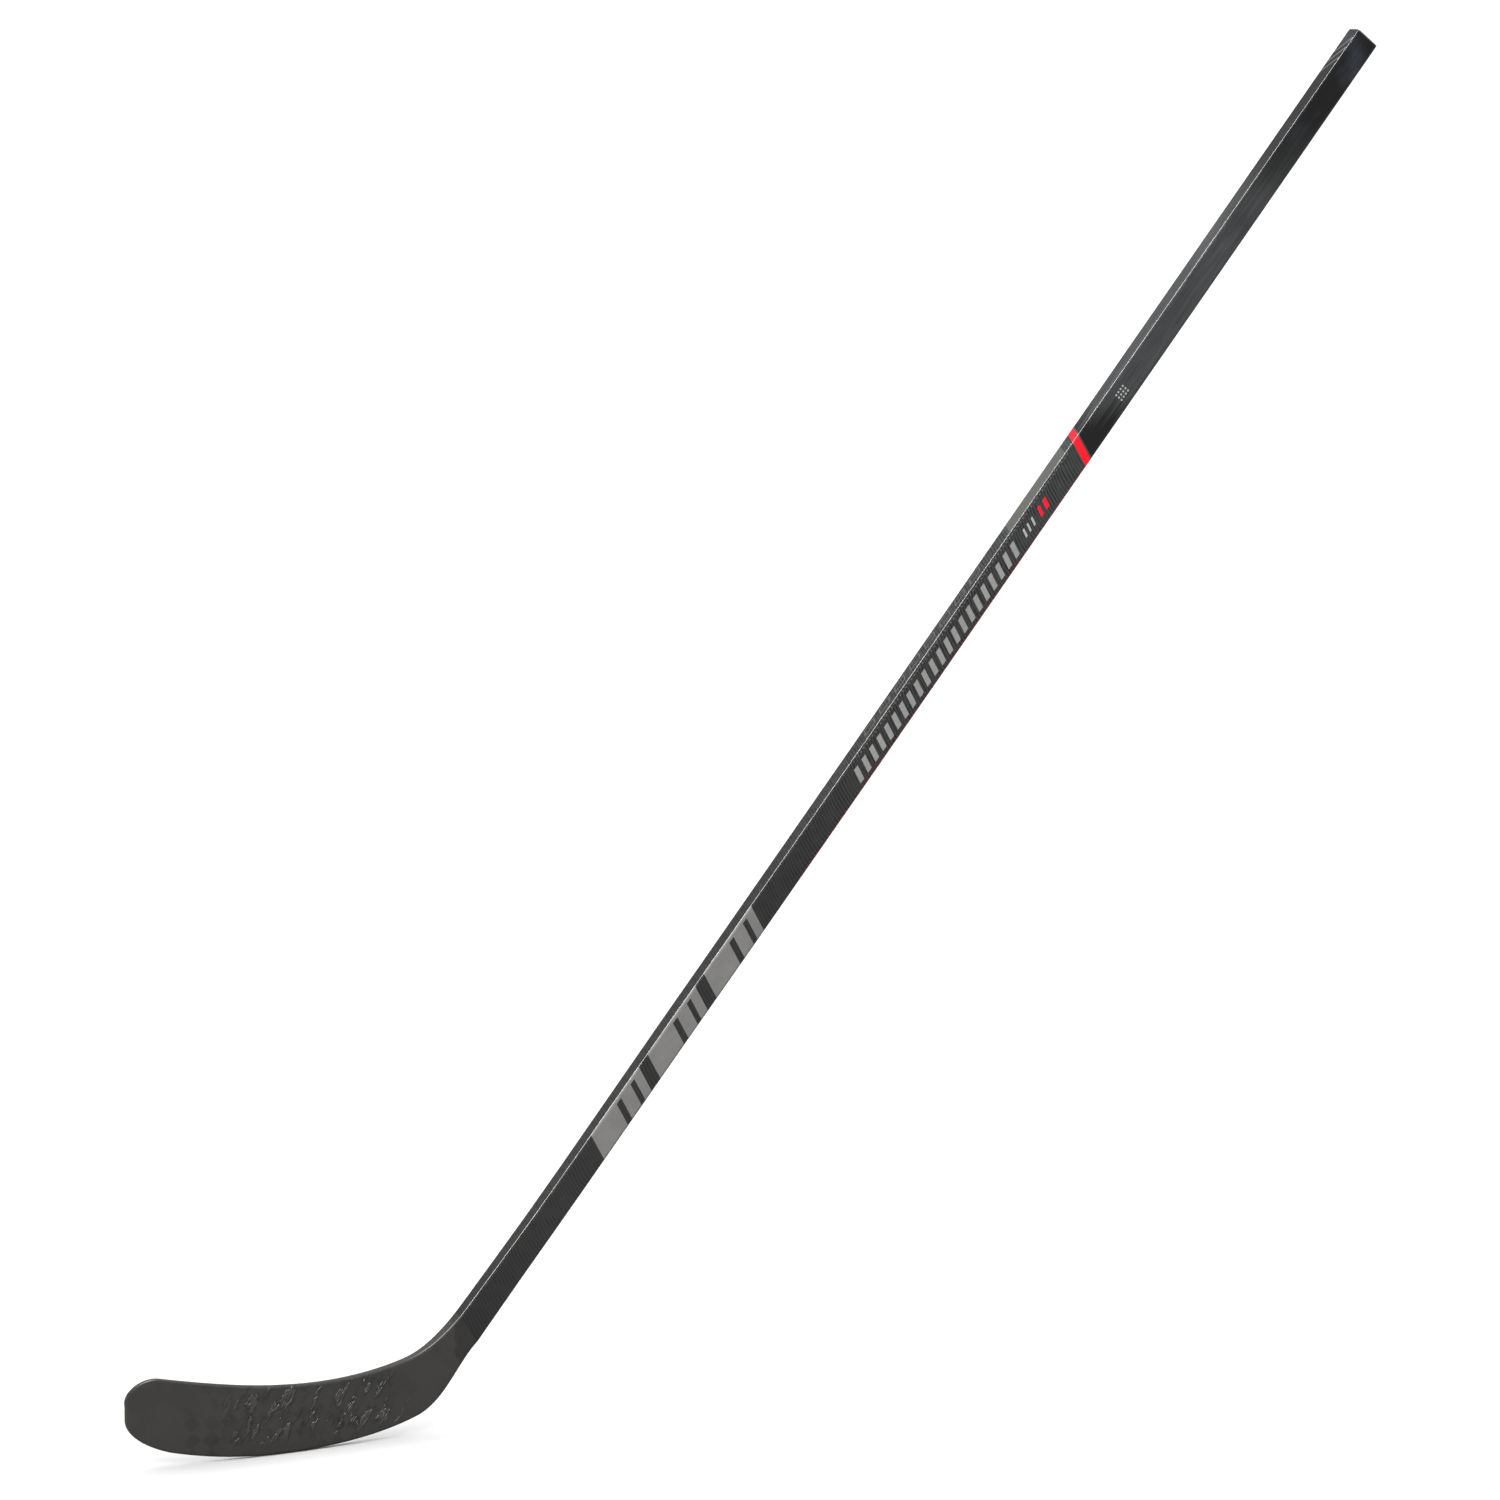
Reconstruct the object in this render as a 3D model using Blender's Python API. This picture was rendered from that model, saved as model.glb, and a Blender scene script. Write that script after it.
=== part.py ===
"""Left-handed one-piece composite ice hockey stick, standing in its playing pose.

The origin is where the sole touches the ice. +X runs along the ice from toe to shaft, +Z is up,
and the blade's face curves towards +Y. Metres throughout.
"""
import math

import bmesh
import bpy
from mathutils import Vector

MM = 0.001
GAP = 0.3 * MM

# The shaft: its axis leaves the ice at the lie angle.
LIE = math.radians(49.0)
SHAFT_FOOT = Vector((106.50 * MM, -2.2 * MM, 3.19 * MM))
SHAFT_DIR = Vector((math.cos(LIE), 0.0, math.sin(LIE)))
SHAFT_UP = Vector((-math.sin(LIE), 0.0, math.cos(LIE)))
SHAFT_END = 1587.0 * MM
SHAFT_WALL = 2.0 * MM
FLANGE_THICK = 1.6 * MM
TUBE_END = SHAFT_END - FLANGE_THICK - GAP
GRIP_START = 1130.0 * MM

# The seam between blade and shaft is cut at a slant: station = SEAM_MID + SEAM_SLOPE * width.
SEAM_MID = 112.0 * MM
SEAM_SLOPE = 0.355

# Shaft sections from the blade upwards: station, lower edge, upper edge, thickness.
SHAFT_SECTIONS = (
    (104.0 * MM, -12.0 * MM, 17.8 * MM, 15.6 * MM),
    (124.8 * MM, -12.0 * MM, 17.2 * MM, 15.8 * MM),
    (176.8 * MM, -12.0 * MM, 15.7 * MM, 16.3 * MM),
    (228.8 * MM, -12.4 * MM, 14.5 * MM, 16.7 * MM),
    (280.8 * MM, -12.6 * MM, 14.1 * MM, 17.0 * MM),
    (436.8 * MM, -12.6 * MM, 14.0 * MM, 17.9 * MM),
    (540.8 * MM, -13.1 * MM, 13.6 * MM, 18.3 * MM),
    (748.8 * MM, -13.3 * MM, 13.3 * MM, 19.0 * MM),
    (1664.0 * MM, -13.3 * MM, 13.3 * MM, 19.0 * MM),
)
SHAFT_CORNER = 2.7 * MM
LEAST_CORNER = 0.3 * MM

PLUG_LENGTH = 30.0 * MM
PLUG_WALL = 2.2 * MM
FLANGE_ROUND = 0.6 * MM
FLANGE_EASE = 0.18 * MM
TENON_END = 190.0 * MM
TENON_TAPER = 1.2 * MM
TENON_SHOULDER = 0.6 * MM
TENON_MIDDLE = 176.8 * MM

# The blade's outline, as matched curves from the seam to the toe: (start, handle, handle, end), mm.
LOWER_EDGE = (
    ((186.2, 76.6), (165.7, 58.1), (153.3, 26.9), (127.3, 16.6)),
    ((127.3, 16.6), (93.7, 4.4), (50.0, 0.0), (8.0, 0.0)),
    ((8.0, 0.0), (3.0, 0.0), (-3.0, 0.0), (-8.0, 0.0)),
    ((-8.0, 0.0), (-42.0, 0.0), (-67.6, 3.1), (-95.7, 9.0)),
    ((-95.7, 9.0), (-113.5, 12.7), (-138.6, 25.2), (-137.9, 43.7)),
)
UPPER_EDGE = (
    ((170.8, 104.0), (154.9, 88.6), (136.9, 74.5), (116.4, 69.7)),
    ((116.4, 69.7), (86.3, 62.1), (52.0, 58.8), (10.0, 62.2)),
    ((10.0, 62.2), (4.0, 62.7), (-2.0, 63.2), (-8.0, 63.7)),
    ((-8.0, 63.7), (-39.5, 66.9), (-72.8, 73.4), (-108.8, 80.7)),
    ((-108.8, 80.7), (-122.8, 83.6), (-140.4, 69.9), (-137.9, 56.2)),
)
STEPS_PER_SPAN = (9, 9, 1, 9, 10)

# Blade thickness, edge radius and skin thickness at the ends of the spans above.
BLADE_THICK = (15.6 * MM, 9.6 * MM, 7.2 * MM, 7.1 * MM, 5.8 * MM, 5.2 * MM)
EDGE_RADIUS = (2.7 * MM, 2.6 * MM, 2.4 * MM, 2.4 * MM, 2.4 * MM, 2.3 * MM)
SKIN_THICK = (2.0 * MM, 1.2 * MM, 0.9 * MM, 0.9 * MM, 0.9 * MM, 0.9 * MM)
WRAP_WIDTH = 2.5 * MM
WRAP_PROFILE = (0.0, 0.134, 0.5, 1.0)

# The curve of the face and the way its top edge leans back towards the toe.
CURVE_START = 29.1 * MM
CURVE_TOE = -142.9 * MM
CURVE_DEPTH = 35.4 * MM
LEAN_START = 70.7 * MM
LEAN_TOE = math.radians(9.0)
LEAN_AXIS_HEIGHT = 39.5 * MM
LEAN_AXIS_SLOPE = -0.06

CORE_SPLIT = 1.35
CORE_SPLIT_GAP = 0.005
RIB_THICK = 2.0 * MM
SIDE_SAMPLES = 10
FOAM_SAMPLES = 4
CORNER_SAMPLES = 4

# Films on the shaft.
FILM = 0.2 * MM
BAND_SLANT_WIDTH = 0.375
BAND_SLANT_DEPTH = 0.36
RED_BAND = (1102.0 * MM, 1110.1 * MM)
GREY_BAND = (1110.5 * MM, 1112.0 * MM)
PRINT_SLOPE = 0.42
BLOCK_STARTS = (314.0 * MM, 404.0 * MM, 494.0 * MM)
BLOCK_STRIPES = ((0.0, 38.0 * MM), (45.0 * MM, 60.0 * MM), (66.0 * MM, 76.0 * MM))
BLOCK_HALF = 9.9 * MM
BLOCK_SPINE = 1.6 * MM
BAR_START = 731.0 * MM
BAR_PITCH = 24.4 * MM
BAR_WIDTH = 13.5 * MM
BAR_COUNT = 11
BAR_LOW = -7.6 * MM
BAR_HIGH = 4.8 * MM
BAR_SPINE = 0.9 * MM
MARK_LOW = -3.8 * MM
MARK_HIGH = 3.8 * MM
LIGHT_MARK = (1007.0 * MM, 1023.0 * MM)
RED_MARK = (1031.5 * MM, 1045.0 * MM)
SIDE_PANEL = (1002.5 * MM, 1094.0 * MM)
ZIGZAG = (767.5 * MM, 965.0 * MM)
ZIGZAG_TEETH = 8
ZIGZAG_HALF = 1.9 * MM
ZIGZAG_LINE = 1.1 * MM
PINSTRIPE = (622.0 * MM, 1092.0 * MM)

COLOURS = {
    "shaft_tube": ((0.030, 0.031, 0.033), 0.42, 0.0),
    "butt_plug": ((0.050, 0.051, 0.053), 0.50, 0.0),
    "hosel_core": ((0.040, 0.040, 0.042), 0.60, 0.0),
    "blade_backhand_skin": ((0.052, 0.051, 0.050), 0.55, 0.0),
    "blade_forehand_skin": ((0.052, 0.051, 0.050), 0.55, 0.0),
    "blade_edge_wrap": ((0.075, 0.073, 0.070), 0.50, 0.0),
    "blade_rib": ((0.035, 0.035, 0.036), 0.55, 0.0),
    "foam_core_upper": ((0.62, 0.58, 0.50), 0.90, 0.0),
    "foam_core_lower": ((0.62, 0.58, 0.50), 0.90, 0.0),
    "red_band": ((0.80, 0.005, 0.020), 0.40, 0.0),
    "grey_band": ((0.30, 0.30, 0.30), 0.40, 0.2),
    "silver_block": ((0.27, 0.27, 0.26), 0.38, 0.5),
    "slant_bars": ((0.40, 0.40, 0.39), 0.45, 0.4),
    "light_mark": ((0.62, 0.62, 0.60), 0.45, 0.0),
    "red_mark": ((0.72, 0.010, 0.030), 0.45, 0.0),
    "side_panel": ((0.25, 0.24, 0.20), 0.40, 0.4),
    "zigzag_line": ((0.33, 0.33, 0.31), 0.45, 0.3),
    "red_pinstripe": ((0.42, 0.012, 0.030), 0.45, 0.0),
}


def clear_scene():
    for obj in list(bpy.data.objects):
        bpy.data.objects.remove(obj, do_unlink=True)


def add_material(obj, key):
    colour, roughness, metallic = COLOURS[key]
    mat = bpy.data.materials.new(key)
    mat.use_nodes = True
    shader = mat.node_tree.nodes["Principled BSDF"]
    shader.inputs["Base Color"].default_value = (*colour, 1.0)
    shader.inputs["Roughness"].default_value = roughness
    shader.inputs["Metallic"].default_value = metallic
    obj.data.materials.append(mat)


def add_object(name, bm, key):
    bmesh.ops.recalc_face_normals(bm, faces=bm.faces)
    mesh = bpy.data.meshes.new(name)
    bm.to_mesh(mesh)
    bm.free()
    obj = bpy.data.objects.new(name, mesh)
    bpy.context.scene.collection.objects.link(obj)
    add_material(obj, key)
    return obj


def join_rings(bm, ring_a, ring_b):
    count = len(ring_a)
    for i in range(count):
        j = (i + 1) % count
        bm.faces.new((ring_a[i], ring_a[j], ring_b[j], ring_b[i]))


def loft(name, rings, key, hollow=False):
    """Skin a run of equal rings: capped at both ends, or closed back on itself when hollow."""
    bm = bmesh.new()
    verts = [[bm.verts.new(p) for p in ring] for ring in rings]
    for ring_a, ring_b in zip(verts, verts[1:]):
        join_rings(bm, ring_a, ring_b)
    if hollow:
        join_rings(bm, verts[-1], verts[0])
    else:
        bm.faces.new(verts[0])
        bm.faces.new(verts[-1])
    return add_object(name, bm, key)


def mix(a, b, t):
    return a + (b - a) * t


# ---- the shaft ----


def shaft_section(station):
    """Lower edge, upper edge and thickness at a station along the shaft."""
    for low, high in zip(SHAFT_SECTIONS, SHAFT_SECTIONS[1:]):
        if station <= high[0]:
            break
    t = max(0.0, (station - low[0]) / (high[0] - low[0]))
    return tuple(mix(p, q, t) for p, q in zip(low[1:], high[1:]))


def rounded_side(width, thick, inset):
    """Half of a rounded rectangle, from its lower to its upper edge: (height, half thickness)."""
    radius = max(SHAFT_CORNER - inset, LEAST_CORNER)
    corner = []
    for i in range(CORNER_SAMPLES + 1):
        angle = 0.5 * math.pi * i / CORNER_SAMPLES
        up = inset + radius * (1.0 - math.cos(angle))
        out = 0.5 * thick - inset - radius * (1.0 - math.sin(angle))
        corner.append((up, out))
    middle = [(0.5 * width, 0.5 * thick - inset)]
    return corner + middle + [(width - up, out) for up, out in reversed(corner)]


def shaft_profile(station, inset):
    """The section's ring at one station: (width, depth) pairs, backhand side first."""
    lower, upper, thick = shaft_section(station)
    side = rounded_side(upper - lower, thick, inset)
    back = [(lower + up, -out) for up, out in side]
    fore = [(lower + up, out) for up, out in reversed(side)]
    return back + fore


def shaft_point(station, width, depth):
    point = SHAFT_FOOT + SHAFT_DIR * station + SHAFT_UP * width
    return Vector((point.x, SHAFT_FOOT.y + depth, point.z))


def shaft_ring(station, inset):
    return [shaft_point(station, w, y) for w, y in shaft_profile(station, inset)]


def seam_station(width):
    return SEAM_MID + SEAM_SLOPE * width


def seam_ring(inset, lift):
    """A ring of the shaft's section cut along the slanted seam, lifted along the shaft."""
    ring = []
    for w, y in shaft_profile(SEAM_MID, inset):
        ring.append(shaft_point(seam_station(w) + lift, w, y))
    return ring


def build_shaft_tube():
    stations = [s[0] for s in SHAFT_SECTIONS[2:-1]] + [GRIP_START, TUBE_END]
    outer = [seam_ring(0.0, 0.5 * GAP)] + [shaft_ring(s, 0.0) for s in stations]
    inner = [seam_ring(SHAFT_WALL, 0.5 * GAP)] + [shaft_ring(s, SHAFT_WALL) for s in stations]
    loft("shaft_tube", outer + inner[::-1], "shaft_tube", hollow=True)


def build_butt_plug():
    outside = SHAFT_WALL + GAP
    inside = outside + PLUG_WALL
    base = SHAFT_END - FLANGE_THICK
    mouth = TUBE_END - PLUG_LENGTH
    rings = [
        shaft_ring(base - PLUG_WALL, inside),
        shaft_ring(mouth, inside),
        shaft_ring(mouth, outside),
        shaft_ring(base, outside),
        shaft_ring(base, 0.0),
        shaft_ring(SHAFT_END - FLANGE_ROUND, 0.0),
        shaft_ring(SHAFT_END - FLANGE_EASE, FLANGE_EASE),
        shaft_ring(SHAFT_END, FLANGE_ROUND),
    ]
    loft("butt_plug", rings, "butt_plug")


# ---- the blade ----


def curve_point(span, t):
    a, b, c, d = span
    u = 1.0 - t
    weights = (u * u * u, 3.0 * u * u * t, 3.0 * u * t * t, t * t * t)
    return Vector(tuple(MM * sum(w * p[k] for w, p in zip(weights, (a, b, c, d))) for k in (0, 1)))


def curve_heading(span, t):
    a, b, c, d = span
    u = 1.0 - t
    weights = (3.0 * u * u, 6.0 * u * t, 3.0 * t * t)
    legs = tuple((q[0] - p[0], q[1] - p[1]) for p, q in ((a, b), (b, c), (c, d)))
    return Vector(tuple(sum(w * leg[k] for w, leg in zip(weights, legs)) for k in (0, 1))).normalized()


def span_at(reach):
    """Reach counts spans from the seam (0) to the toe: the span's index and the place along it."""
    index = min(int(reach), len(LOWER_EDGE) - 1)
    return index, reach - index


def edge_points(reach):
    """Lower and upper outline points with their inward directions."""
    index, t = span_at(reach)
    low = curve_point(LOWER_EDGE[index], t)
    high = curve_point(UPPER_EDGE[index], t)
    low_dir = curve_heading(LOWER_EDGE[index], t)
    high_dir = curve_heading(UPPER_EDGE[index], t)
    return low, Vector((low_dir.y, -low_dir.x)), high, Vector((-high_dir.y, high_dir.x))


def along(values, reach):
    index, t = span_at(reach)
    return mix(values[index], values[index + 1], t)


def face_curve(x, z):
    """Depth of the blade's middle surface: the curve of the face plus the lean of its top edge."""
    bend = max(0.0, (CURVE_START - x) / (CURVE_START - CURVE_TOE))
    lean = max(0.0, (LEAN_START - x) / (LEAN_START - CURVE_TOE))
    axis = LEAN_AXIS_HEIGHT + LEAN_AXIS_SLOPE * x
    leaned = math.tan(LEAN_TOE * lean ** 1.5) * (z - axis)
    return SHAFT_FOOT.y + CURVE_DEPTH * bend * bend - leaned


def blade_point(flat, depth):
    return Vector((flat.x, face_curve(flat.x, flat.y) + depth, flat.y))


def half_thickness(reach, inset, from_edge):
    """Half the thickness left inside an inset, at a distance from the outline."""
    thick = along(BLADE_THICK, reach)
    radius = along(EDGE_RADIUS, reach)
    if from_edge >= radius:
        return 0.5 * thick - inset
    rise = (radius - inset) ** 2 - (radius - from_edge) ** 2
    return 0.5 * thick - radius + math.sqrt(max(rise, 0.0))


def rung(reach, start=0.0, stop=1.0, samples=SIDE_SAMPLES):
    """Points across the blade inside its edge wrap, each with its distance from the outline."""
    margin = WRAP_WIDTH + GAP
    low, low_in, high, high_in = edge_points(reach)
    bottom = low + low_in * margin
    top = high + high_in * margin
    span = (top - bottom).length
    points = []
    for i in range(samples + 1):
        share = 0.5 - 0.5 * math.cos(math.pi * i / samples)
        s = mix(start, stop, share)
        points.append((bottom.lerp(top, s), margin + min(s, 1.0 - s) * span))
    return points


def skin_ring(reach, side):
    points = rung(reach)
    skin = along(SKIN_THICK, reach)
    outer = [blade_point(p, side * half_thickness(reach, 0.0, a)) for p, a in points]
    inner = [blade_point(p, side * half_thickness(reach, skin, a)) for p, a in points]
    return outer + inner[::-1]


def core_ring(reach, start=0.0, stop=1.0, samples=SIDE_SAMPLES):
    points = rung(reach, start, stop, samples)
    inset = along(SKIN_THICK, reach) + GAP
    back = [blade_point(p, -half_thickness(reach, inset, a)) for p, a in points]
    fore = [blade_point(p, half_thickness(reach, inset, a)) for p, a in points]
    return back + fore[::-1]


def reaches(start, stop):
    """Stations between two reaches, at the outline's own steps."""
    found = [start]
    for index, steps in enumerate(STEPS_PER_SPAN):
        for i in range(steps):
            reach = index + i / steps
            if start + 0.02 < reach < stop - 0.02:
                found.append(reach)
    return found + [stop]


def seat_on_seam(ring):
    """Slide a ring along the shaft's direction until it stands just clear of the slanted seam."""
    seated = []
    for point in ring:
        arm = point - SHAFT_FOOT
        slide = seam_station(arm.dot(SHAFT_UP)) - 0.5 * GAP - arm.dot(SHAFT_DIR)
        seated.append(point + SHAFT_DIR * slide)
    return seated


def whole_blade(make_ring):
    toe = float(len(LOWER_EDGE))
    stations = reaches(0.0, toe)
    return [seat_on_seam(make_ring(0.0))] + [make_ring(r) for r in stations[1:]]


def build_skins():
    loft("blade_backhand_skin", whole_blade(lambda r: skin_ring(r, -1.0)), "blade_backhand_skin")
    loft("blade_forehand_skin", whole_blade(lambda r: skin_ring(r, 1.0)), "blade_forehand_skin")


def wrap_ring(reach, corner, inward):
    ring = []
    for side in (-1.0, 1.0):
        shares = WRAP_PROFILE[::-1] if side < 0.0 else WRAP_PROFILE
        for share in shares:
            a = share * WRAP_WIDTH
            ring.append(blade_point(corner + inward * a, side * half_thickness(reach, 0.0, a)))
    return ring


def build_edge_wrap():
    toe = float(len(LOWER_EDGE))
    lower = []
    upper = []
    for reach in reaches(0.0, toe):
        low, low_in, high, high_in = edge_points(reach)
        lower.append(wrap_ring(reach, low, low_in))
        upper.append(wrap_ring(reach, high, high_in))
    lower[0] = seat_on_seam(lower[0])
    upper[0] = seat_on_seam(upper[0])
    loft("blade_edge_wrap", lower + upper[::-1], "blade_edge_wrap")


def tenon_rings():
    inset = SHAFT_WALL + GAP
    return [
        seam_ring(inset, TENON_SHOULDER),
        shaft_ring(TENON_MIDDLE, inset),
        shaft_ring(TENON_END - TENON_TAPER, inset),
        shaft_ring(TENON_END, inset + TENON_TAPER),
    ]


def build_hosel_core():
    neck = [core_ring(r) for r in reaches(0.0, CORE_SPLIT)]
    neck[0] = seat_on_seam(neck[0])
    loft("hosel_core", tenon_rings()[::-1] + neck, "hosel_core")


def core_share(reach, side):
    """Where the rib's edge, or a foam core's edge beside it, sits across the blade."""
    points = rung(reach, samples=1)
    span = (points[1][0] - points[0][0]).length
    return 0.5 + side / span


def build_blade_cores():
    toe = float(len(LOWER_EDGE))
    stations = reaches(CORE_SPLIT + CORE_SPLIT_GAP, toe)
    half = 0.5 * RIB_THICK
    edge = half + GAP
    upper = [core_ring(r, core_share(r, edge), 1.0, FOAM_SAMPLES) for r in stations]
    lower = [core_ring(r, 0.0, core_share(r, -edge), FOAM_SAMPLES) for r in stations]
    rib = [core_ring(r, core_share(r, -half), core_share(r, half), 1) for r in stations]
    loft("foam_core_upper", upper, "foam_core_upper")
    loft("foam_core_lower", lower, "foam_core_lower")
    loft("blade_rib", rib, "blade_rib")


# ---- films on the shaft ----


def wrap_point(index, inset, station_of):
    """A point of the shaft's ring whose station depends on where it lies round the section."""
    w, y = shaft_profile(SHAFT_SECTIONS[-1][0], inset)[index]
    station = station_of(w, y)
    w, y = shaft_profile(station, inset)[index]
    return shaft_point(station_of(w, y), w, y)


def build_band(name, ends):
    """A film that goes all the way round the shaft between two slanted cuts."""
    rings = []
    count = len(shaft_profile(SHAFT_END, 0.0))
    for inset, order in ((-GAP, ends), (-GAP - FILM, ends[::-1])):
        for base in order:
            def station_of(w, y, base=base):
                return base + BAND_SLANT_WIDTH * w + BAND_SLANT_DEPTH * y
            rings.append([wrap_point(i, inset, station_of) for i in range(count)])
    loft(name, rings, name, hollow=True)


def build_wrap_patch(name, indices, low_of, high_of, stations, key):
    """A film over part of the section, its two ends given as stations round the section."""
    def strip(share, inset):
        def station_of(w, y):
            return mix(low_of(w, y), high_of(w, y), share)
        return [wrap_point(i, inset, station_of) for i in indices]
    rings = []
    for k in range(stations + 1):
        share = k / stations
        rings.append(strip(share, -GAP) + strip(share, -GAP - FILM)[::-1])
    loft(name, rings, key)


def build_side_panel():
    last = 2 * CORNER_SAMPLES + 2
    half = CORNER_SAMPLES // 2
    indices = list(range(last - half, last + half + 2))

    def low_of(w, y):
        return SIDE_PANEL[0] + BAND_SLANT_DEPTH * y

    def high_of(w, y):
        return SIDE_PANEL[1] + BAND_SLANT_DEPTH * y
    build_wrap_patch("side_panel", indices, low_of, high_of, 1, "side_panel")


def build_pinstripe():
    indices = [1, CORNER_SAMPLES // 2]

    def low_of(w, y):
        return PINSTRIPE[0]

    def high_of(w, y):
        return PINSTRIPE[1]
    build_wrap_patch("red_pinstripe", indices, low_of, high_of, 4, "red_pinstripe")


def flat_film(name, outline, place, key):
    """Extrude a flat outline into a film; place maps (station, across, lift) to a point."""
    bm = bmesh.new()
    face = bm.faces.new([bm.verts.new(place(s, c, GAP)) for s, c in outline])
    lifted = bmesh.ops.extrude_face_region(bm, geom=[face])
    step = place(outline[0][0], outline[0][1], GAP + FILM) - place(*outline[0], GAP)
    moved = [e for e in lifted["geom"] if isinstance(e, bmesh.types.BMVert)]
    bmesh.ops.translate(bm, verts=moved, vec=step)
    bmesh.ops.triangulate(bm, faces=[f for f in bm.faces if len(f.verts) > 4])
    add_object(name, bm, key)


def on_backhand(station, across, lift):
    thick = shaft_section(station)[2]
    return shaft_point(station, across, -0.5 * thick - lift)


def on_forehand(station, across, lift):
    thick = shaft_section(station)[2]
    return shaft_point(station, across, 0.5 * thick + lift)


def on_top(station, across, lift):
    upper = shaft_section(station)[1]
    return shaft_point(station, upper + lift, across)


def slanted(station, across):
    return (station + PRINT_SLOPE * across, across)


def build_blocks():
    """Silver stripes joined by one spine beside the shaft's upper corner, on both wide faces."""
    foot = -BLOCK_HALF
    spine = BLOCK_HALF - BLOCK_SPINE
    for place, start in zip(("lower", "middle", "upper"), BLOCK_STARTS):
        end = start + BLOCK_STRIPES[-1][1]
        outline = [slanted(start, BLOCK_HALF), slanted(end, BLOCK_HALF)]
        for near, far in reversed(BLOCK_STRIPES):
            outline += [slanted(start + far, spine), slanted(start + far, foot)]
            outline += [slanted(start + near, foot), slanted(start + near, spine)]
        outline = outline[:2] + outline[3:-1]
        for side, place_on in (("backhand", on_backhand), ("forehand", on_forehand)):
            flat_film("silver_block_" + place + "_" + side, outline, place_on, "silver_block")


def build_slant_bars():
    """Slanted bars standing on one thin line, as a single film."""
    foot = BAR_LOW + BAR_SPINE
    end = BAR_START + BAR_PITCH * (BAR_COUNT - 1) + BAR_WIDTH
    outline = [slanted(BAR_START, BAR_LOW), slanted(end, BAR_LOW)]
    for i in range(BAR_COUNT - 1, -1, -1):
        left = BAR_START + BAR_PITCH * i
        right = left + BAR_WIDTH
        outline += [slanted(right, foot), slanted(right, BAR_HIGH)]
        outline += [slanted(left, BAR_HIGH), slanted(left, foot)]
    outline = outline[:2] + outline[3:-1]
    flat_film("slant_bars", outline, on_backhand, "slant_bars")


def build_mark(name, ends):
    low = [slanted(ends[0], MARK_LOW), slanted(ends[1], MARK_LOW)]
    outline = low + [slanted(ends[1], MARK_HIGH), slanted(ends[0], MARK_HIGH)]
    flat_film(name, outline, on_backhand, name)


def build_zigzag():
    """One thin zigzag line on the shaft's narrow upper face."""
    start, end = ZIGZAG
    pitch = (end - start) / ZIGZAG_TEETH
    near = []
    far = []
    for i in range(ZIGZAG_TEETH + 1):
        station = start + pitch * i
        across = ZIGZAG_HALF if i % 2 else -ZIGZAG_HALF
        near.append((station, across - 0.5 * ZIGZAG_LINE))
        far.append((station, across + 0.5 * ZIGZAG_LINE))
    flat_film("zigzag_line", near + far[::-1], on_top, "zigzag_line")


def build_films():
    build_band("red_band", RED_BAND)
    build_band("grey_band", GREY_BAND)
    build_blocks()
    build_side_panel()
    build_pinstripe()
    build_slant_bars()
    build_mark("light_mark", LIGHT_MARK)
    build_mark("red_mark", RED_MARK)
    build_zigzag()


def main():
    clear_scene()
    build_shaft_tube()
    build_butt_plug()
    build_skins()
    build_edge_wrap()
    build_hosel_core()
    build_blade_cores()
    build_films()


main()
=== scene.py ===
import math

import bmesh
import bpy
from mathutils import Matrix, Vector


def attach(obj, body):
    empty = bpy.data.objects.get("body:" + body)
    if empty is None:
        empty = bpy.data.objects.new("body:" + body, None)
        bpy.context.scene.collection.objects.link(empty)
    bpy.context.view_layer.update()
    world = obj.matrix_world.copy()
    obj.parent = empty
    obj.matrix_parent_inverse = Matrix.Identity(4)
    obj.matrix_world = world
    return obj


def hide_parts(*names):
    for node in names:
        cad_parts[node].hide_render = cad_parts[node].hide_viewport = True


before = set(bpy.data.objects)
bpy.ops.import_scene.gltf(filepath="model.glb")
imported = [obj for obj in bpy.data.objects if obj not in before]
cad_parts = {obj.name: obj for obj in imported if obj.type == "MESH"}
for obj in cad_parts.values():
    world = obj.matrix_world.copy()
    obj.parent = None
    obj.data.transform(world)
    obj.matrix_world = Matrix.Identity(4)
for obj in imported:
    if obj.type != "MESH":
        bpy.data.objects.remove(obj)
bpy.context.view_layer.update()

MM = 0.001

# How far prints and bands lean: metres along the shaft for each metre of width, and of depth.
PRINT_SLOPE = 0.42
BAND_SLOPE = (0.375, 0.36)

# ---------------------------------------------------------------- shape of the stick

LIE = math.radians(49.0)
SHAFT_FOOT = Vector((0.10650, -0.0022, 0.00319))
SHAFT_DIR = Vector((math.cos(LIE), 0.0, math.sin(LIE)))
SHAFT_UP = Vector((-math.sin(LIE), 0.0, math.cos(LIE)))
SHAFT_END = 1.587
FLANGE_THICK = 0.0016
TUBE_END = SHAFT_END - FLANGE_THICK - 0.0001
SHAFT_WALL = 0.002
CORNER = 0.0027
SEAM_MID = 0.112
SEAM_SLOPE = 0.355

# Sections from the blade upwards: station, lower edge, upper edge, thickness.
SHAFT_SECTIONS = (
    (0.1040, -0.0120, 0.0178, 0.0156),
    (0.1248, -0.0120, 0.0172, 0.0158),
    (0.1768, -0.0120, 0.0157, 0.0163),
    (0.2288, -0.0124, 0.0145, 0.0167),
    (0.2808, -0.0126, 0.0141, 0.0170),
    (0.4368, -0.0126, 0.0140, 0.0179),
    (0.5408, -0.0131, 0.0136, 0.0183),
    (0.7488, -0.0133, 0.0133, 0.0190),
    (1.6640, -0.0133, 0.0133, 0.0190),
)

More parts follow.
